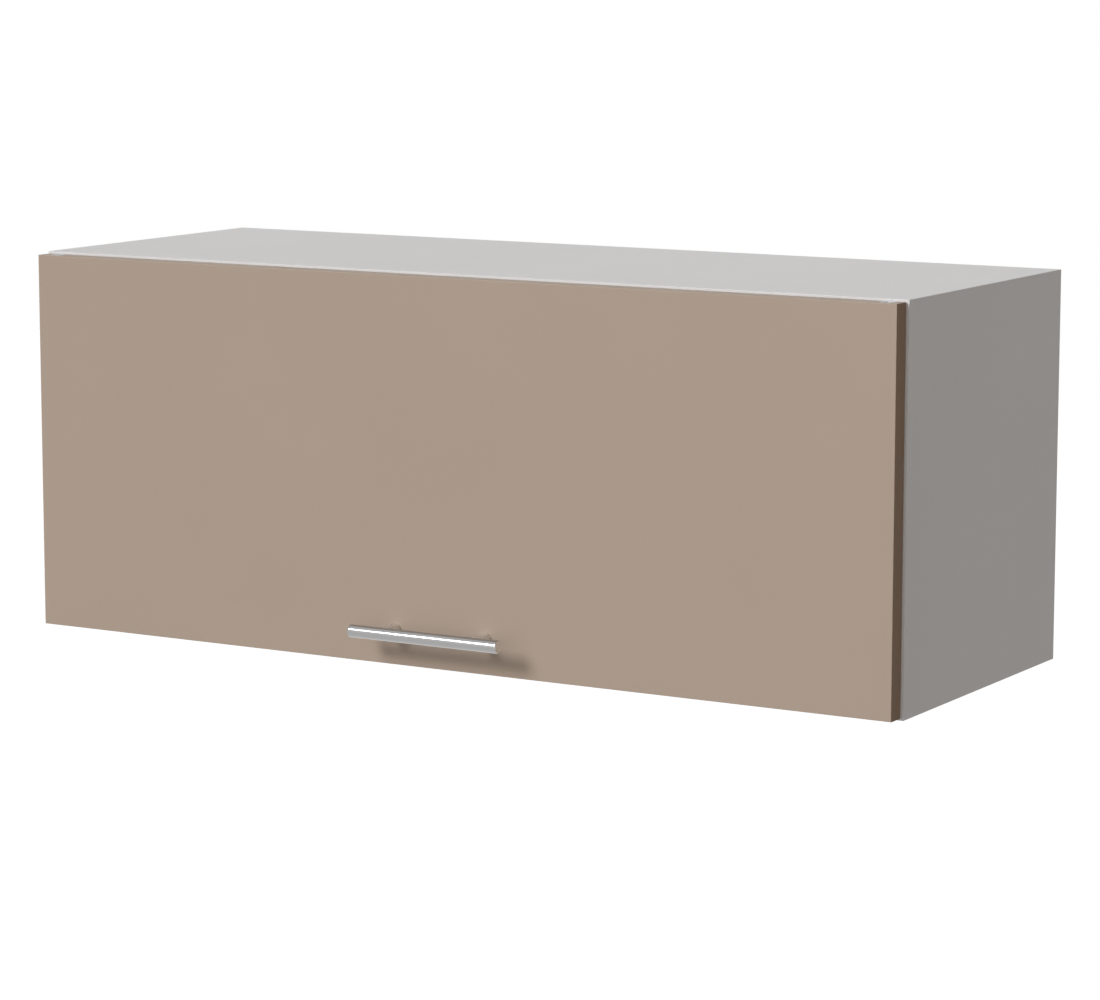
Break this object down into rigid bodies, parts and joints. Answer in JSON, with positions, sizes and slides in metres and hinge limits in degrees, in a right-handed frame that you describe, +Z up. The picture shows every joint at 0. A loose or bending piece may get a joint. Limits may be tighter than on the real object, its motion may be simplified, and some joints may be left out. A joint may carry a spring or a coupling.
{
  "type": "lift up wall cabinet",
  "caption": "Low wide wall cabinet with one top hinged lift up flap door, friction flap stays, bar handle and wall hanging brackets.",
  "frame": {"origin": "middle of the four wall plate holes, on the wall plane", "axes": "+X to the right seen from the front, +Y into the wall, +Z up"},
  "size_m": [0.9, 0.374, 0.358],
  "materials": {
    "white_board": "satin white melamine faced chipboard",
    "white_hardboard": "white lacquered hardboard",
    "white_edge": "white edge band",
    "door_foil": "matt greige foil on board",
    "door_edge": "matt greige edge band",
    "white_plastic": "fine grained white plastic",
    "clear_rubber": "clear soft buffer",
    "zinc_casting": "plain zinc die casting",
    "beech": "fluted beech",
    "handle_steel": "satin nickel plated steel",
    "plated_steel": "zinc plated pressed steel",
    "screw_steel": "zinc plated screw steel",
    "dark_nylon": "black glass filled nylon",
    "friction_lining": "brown friction lining"
  },
  "bodies": {
    "carcass": {"side_panel_left": "white_board", "side_panel_right": "white_board", "top_panel": "white_board", "bottom_panel": "white_board", "back_panel": "white_hardboard", "carcass_edge_bands": "white_edge", "back_panel_clips": "white_plastic", "back_clip_screws": "screw_steel", "cam_housings": "zinc_casting", "cam_bolts": "screw_steel", "cam_caps": "white_plastic", "wood_dowels": "beech", "hanger_casing_left": "white_plastic", "hanger_casing_right": "white_plastic", "hanger_hook_left": "plated_steel", "hanger_hook_right": "plated_steel", "hanger_adjusters": "screw_steel", "hanger_cover_left": "white_plastic", "hanger_cover_right": "white_plastic", "hanger_screws": "screw_steel", "wall_plate_left": "plated_steel", "wall_plate_right": "plated_steel", "door_buffers": "clear_rubber", "pivot_plate_left": "plated_steel", "pivot_plate_right": "plated_steel", "pivot_plate_screws": "screw_steel", "stay_base_left": "plated_steel", "stay_base_right": "plated_steel", "stay_cover_left": "white_plastic", "stay_cover_right": "white_plastic", "friction_discs": "friction_lining", "brake_bolts": "screw_steel", "brake_nuts": "dark_nylon", "stay_screws": "screw_steel"},
    "door": {"door_panel": "door_foil", "door_edge_bands": "door_edge", "handle_tube": "handle_steel", "handle_end_caps": "handle_steel", "handle_posts": "handle_steel", "handle_screws": "screw_steel", "hinge_block_left": "zinc_casting", "hinge_block_right": "zinc_casting", "hinge_pins": "screw_steel", "hinge_block_screws": "screw_steel", "door_bracket_left": "plated_steel", "door_bracket_right": "plated_steel", "bracket_pins": "screw_steel", "bracket_screws": "screw_steel"},
    "lever_left": {"stay_lever_left": "plated_steel", "lever_pin_left": "screw_steel"},
    "lever_right": {"stay_lever_right": "plated_steel", "lever_pin_right": "screw_steel"},
    "link_left": {"stay_link_left": "plated_steel"},
    "link_right": {"stay_link_right": "plated_steel"}
  },
  "joints": [
    {"name": "door_lift", "type": "hinge", "parent": "carcass", "child": "door", "pos_m": [0, -0.3295, 0.0555], "axis": [-1, 0, 0], "range_deg": [0, 90]},
    {"name": "lever_left_swing", "type": "hinge", "parent": "carcass", "child": "lever_left", "pos_m": [-0.4175, -0.258, 0.011], "axis": [-1, 0, 0], "range_deg": [0, 90]},
    {"name": "lever_right_swing", "type": "hinge", "parent": "carcass", "child": "lever_right", "pos_m": [0.4175, -0.258, 0.011], "axis": [-1, 0, 0], "range_deg": [0, 90]},
    {"name": "link_left_turn", "type": "hinge", "parent": "lever_left", "child": "link_left", "pos_m": [-0.4141, -0.2355, -0.0955], "axis": [1, 0, 0], "range_deg": [0, 90]},
    {"name": "link_right_turn", "type": "hinge", "parent": "lever_right", "child": "link_right", "pos_m": [0.4141, -0.2355, -0.0955], "axis": [1, 0, 0], "range_deg": [0, 90]}
  ],
  "couplings": [
    {"joint": "lever_left_swing", "follows": "door_lift", "ratio": 1},
    {"joint": "lever_right_swing", "follows": "door_lift", "ratio": 1},
    {"joint": "link_left_turn", "follows": "door_lift", "ratio": 1},
    {"joint": "link_right_turn", "follows": "door_lift", "ratio": 1}
  ]
}
